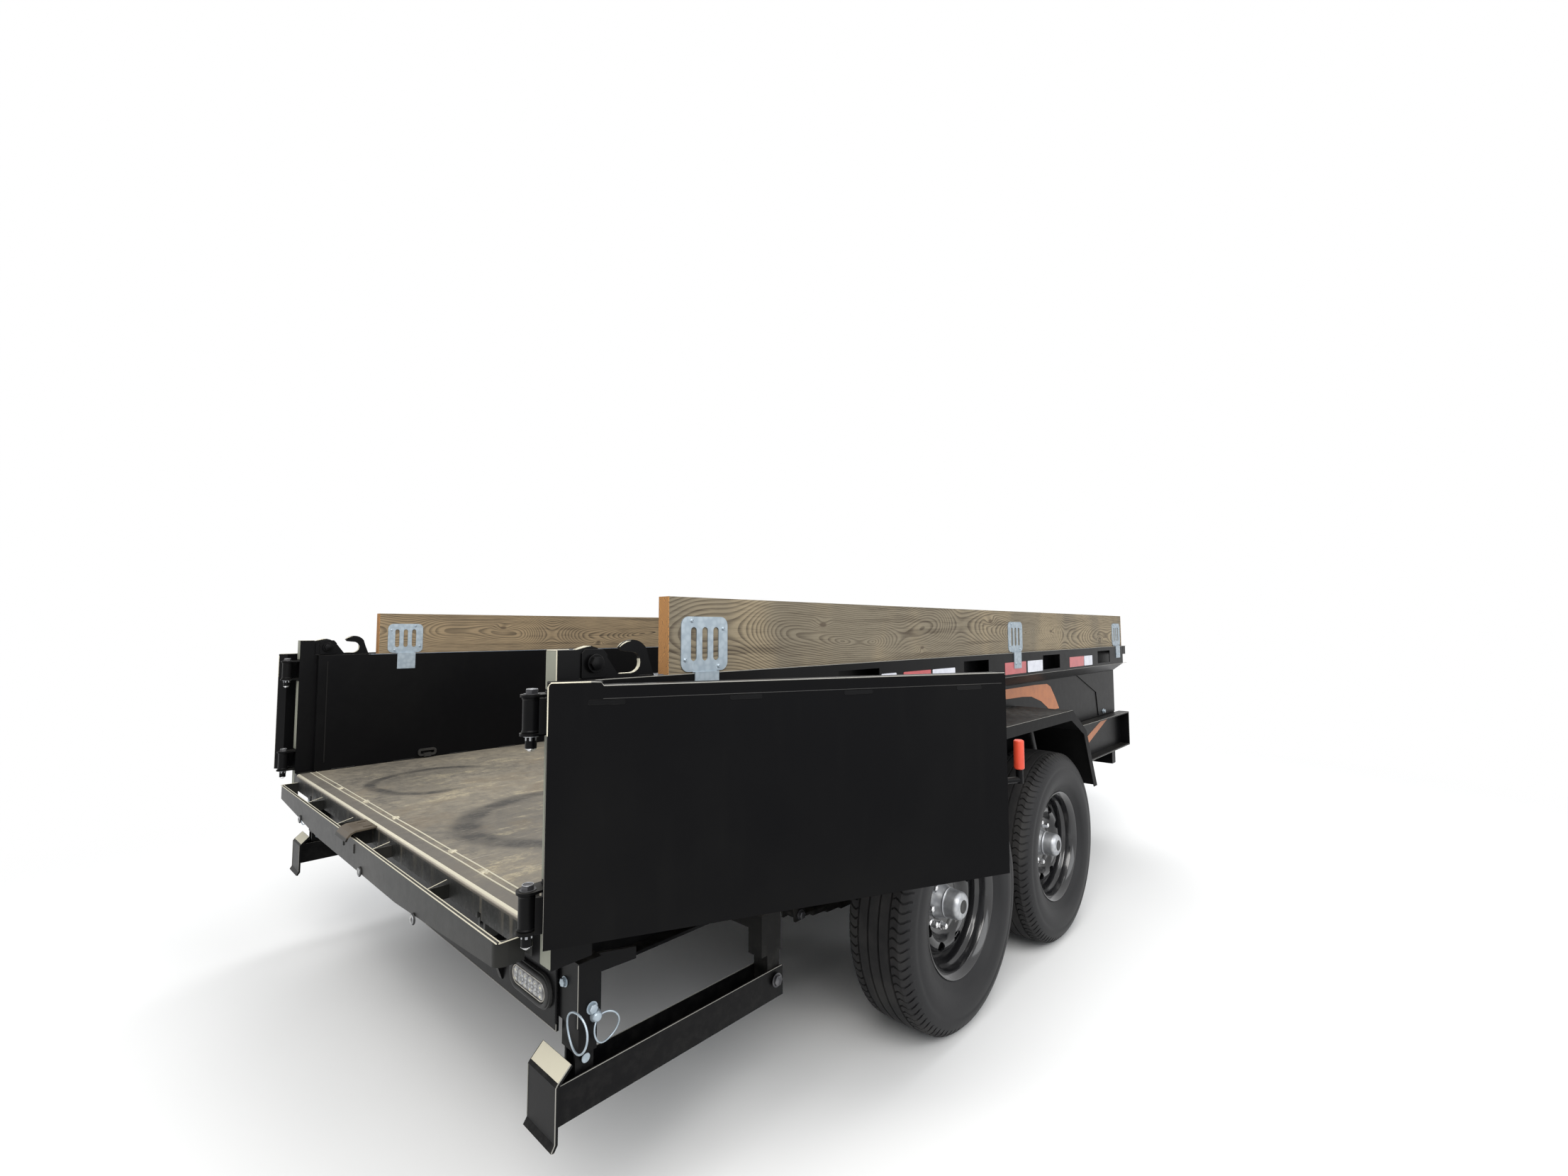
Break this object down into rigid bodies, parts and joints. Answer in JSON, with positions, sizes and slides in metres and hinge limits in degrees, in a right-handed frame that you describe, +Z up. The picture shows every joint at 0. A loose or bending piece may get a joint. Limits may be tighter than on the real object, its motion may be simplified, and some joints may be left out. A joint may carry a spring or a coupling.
{
  "type": "tandem axle dump trailer",
  "caption": "Low tandem axle dump trailer with rear barn doors, timber side boards, hoist, stabilisers and a drop leg jack.",
  "frame": {"origin": "on the ground below the middle of the trailer's length and width", "axes": "+X forward to the coupler, +Y to the left, +Z up"},
  "size_m": [5.483, 3.2784, 1.38],
  "materials": {
    "tyre_rubber": "matt black rubber",
    "wheel_paint": "gloss black paint",
    "hub_casting": "cast hub with a pressed cap",
    "treated_timber": "rough treated pine",
    "zinc_plate": "zinc plated",
    "worn_floor_steel": "worn, dusty steel",
    "lamp_lens": "clear lens in a black rubber ring",
    "red_grip": "dipped vinyl grip",
    "chromed_rod": "hard chrome",
    "running_gear_paint": "dusty black paint",
    "satin_black_paint": "satin black paint"
  },
  "bodies": {
    "frame": {"chassis_rails": "satin_black_paint", "chassis_crossmembers": "satin_black_paint", "hoist_beams": "satin_black_paint", "rear_panel": "satin_black_paint", "tail_lamps": "lamp_lens", "spring_hangers": "running_gear_paint", "equalisers": "running_gear_paint", "leaf_springs": "running_gear_paint", "axles": "running_gear_paint", "fender_left": "satin_black_paint", "fender_right": "satin_black_paint", "side_channel_left": "satin_black_paint", "side_channel_right": "satin_black_paint", "tongue": "satin_black_paint", "coupler": "satin_black_paint", "jack_tube": "satin_black_paint", "tool_box": "satin_black_paint", "arm_brackets": "satin_black_paint"},
    "bed": {"bed_floor": "worn_floor_steel", "bed_side_left": "satin_black_paint", "bed_side_right": "satin_black_paint", "bed_bulkhead": "satin_black_paint", "rear_post_left": "satin_black_paint", "rear_post_right": "satin_black_paint", "side_board_left": "treated_timber", "side_board_right": "treated_timber", "board_brackets": "zinc_plate", "ramp_bar": "satin_black_paint", "tie_rings": "zinc_plate"},
    "door_right": {"door_right": "satin_black_paint", "door_hinges_right": "satin_black_paint", "latch_lever": "satin_black_paint", "latch_grip": "red_grip"},
    "door_left": {"door_left": "satin_black_paint", "door_hinges_left": "satin_black_paint"},
    "stabiliser_arm_right": {"stabiliser_arm_right": "satin_black_paint"},
    "stabiliser_arm_left": {"stabiliser_arm_left": "satin_black_paint"},
    "stabiliser_leg_right": {"stabiliser_leg_right": "satin_black_paint"},
    "stabiliser_leg_left": {"stabiliser_leg_left": "satin_black_paint"},
    "jack_leg": {"jack_leg": "zinc_plate"},
    "tool_box_lid": {"tool_box_lid": "satin_black_paint"},
    "hoist_barrel": {"hoist_barrel": "satin_black_paint"},
    "hoist_rod": {"hoist_rod": "chromed_rod"},
    "wheel_rear_right": {"tyre_rear_right": "tyre_rubber", "rim_rear_right": "wheel_paint", "hub_rear_right": "hub_casting"},
    "wheel_rear_left": {"tyre_rear_left": "tyre_rubber", "rim_rear_left": "wheel_paint", "hub_rear_left": "hub_casting"},
    "wheel_front_right": {"tyre_front_right": "tyre_rubber", "rim_front_right": "wheel_paint", "hub_front_right": "hub_casting"},
    "wheel_front_left": {"tyre_front_left": "tyre_rubber", "rim_front_left": "wheel_paint", "hub_front_left": "hub_casting"}
  },
  "joints": [
    {"name": "bed_tilt", "type": "hinge", "parent": "frame", "child": "bed", "pos_m": [-2.642, 0, 0.625], "axis": [0, -1, 0], "range_deg": [0, 45]},
    {"name": "hoist_barrel_swing", "type": "hinge", "parent": "frame", "child": "hoist_barrel", "pos_m": [-1.12, 0, 0.492], "axis": [0, -1, 0], "range_deg": [0, 68.66]},
    {"name": "hoist_rod_slide", "type": "slide", "parent": "hoist_barrel", "child": "hoist_rod", "axis": [0.9954, 0, 0.0953], "range_m": [0, 0.8422]},
    {"name": "door_right_swing", "type": "hinge", "parent": "bed", "child": "door_right", "pos_m": [-2.708, -1.088, 0.95], "axis": [0, 0, 1], "range_deg": [-244, 15]},
    {"name": "door_left_swing", "type": "hinge", "parent": "bed", "child": "door_left", "pos_m": [-2.708, 1.088, 0.95], "axis": [0, 0, -1], "range_deg": [-244, 15]},
    {"name": "jack_leg_slide", "type": "slide", "parent": "frame", "child": "jack_leg", "axis": [0, 0, 1], "range_m": [0, 0.34]},
    {"name": "tool_box_lid_hinge", "type": "hinge", "parent": "frame", "child": "tool_box_lid", "pos_m": [1.223, 0, 1.003], "axis": [0, -1, 0], "range_deg": [0, 80]},
    {"name": "stabiliser_arm_right_hinge", "type": "hinge", "parent": "frame", "child": "stabiliser_arm_right", "pos_m": [-2.034, -1.074, 0.385], "axis": [0, -1, 0], "range_deg": [0, 10]},
    {"name": "stabiliser_leg_right_slide", "type": "slide", "parent": "frame", "child": "stabiliser_leg_right", "axis": [0, 0, -1], "range_m": [0, 0.0985]},
    {"name": "stabiliser_arm_left_hinge", "type": "hinge", "parent": "frame", "child": "stabiliser_arm_left", "pos_m": [-2.034, 1.074, 0.385], "axis": [0, -1, 0], "range_deg": [0, 10]},
    {"name": "stabiliser_leg_left_slide", "type": "slide", "parent": "frame", "child": "stabiliser_leg_left", "axis": [0, 0, -1], "range_m": [0, 0.0985]},
    {"name": "wheel_rear_right_spin", "type": "hinge", "parent": "frame", "child": "wheel_rear_right", "pos_m": [-1.29, -1.163, 0.386], "axis": [0, 1, 0], "continuous": true},
    {"name": "wheel_rear_left_spin", "type": "hinge", "parent": "frame", "child": "wheel_rear_left", "pos_m": [-1.29, 1.163, 0.386], "axis": [0, 1, 0], "continuous": true},
    {"name": "wheel_front_right_spin", "type": "hinge", "parent": "frame", "child": "wheel_front_right", "pos_m": [-0.452, -1.163, 0.386], "axis": [0, 1, 0], "continuous": true},
    {"name": "wheel_front_left_spin", "type": "hinge", "parent": "frame", "child": "wheel_front_left", "pos_m": [-0.452, 1.163, 0.386], "axis": [0, 1, 0], "continuous": true}
  ],
  "couplings": [
    {"joint": "hoist_barrel_swing", "follows": "bed_tilt", "ratio": 1.5146},
    {"joint": "hoist_rod_slide", "follows": "bed_tilt", "m_per_rad": 1.066},
    {"joint": "stabiliser_leg_right_slide", "follows": "stabiliser_arm_right_hinge", "m_per_rad": 0.54721},
    {"joint": "stabiliser_leg_left_slide", "follows": "stabiliser_arm_left_hinge", "m_per_rad": 0.54721}
  ]
}
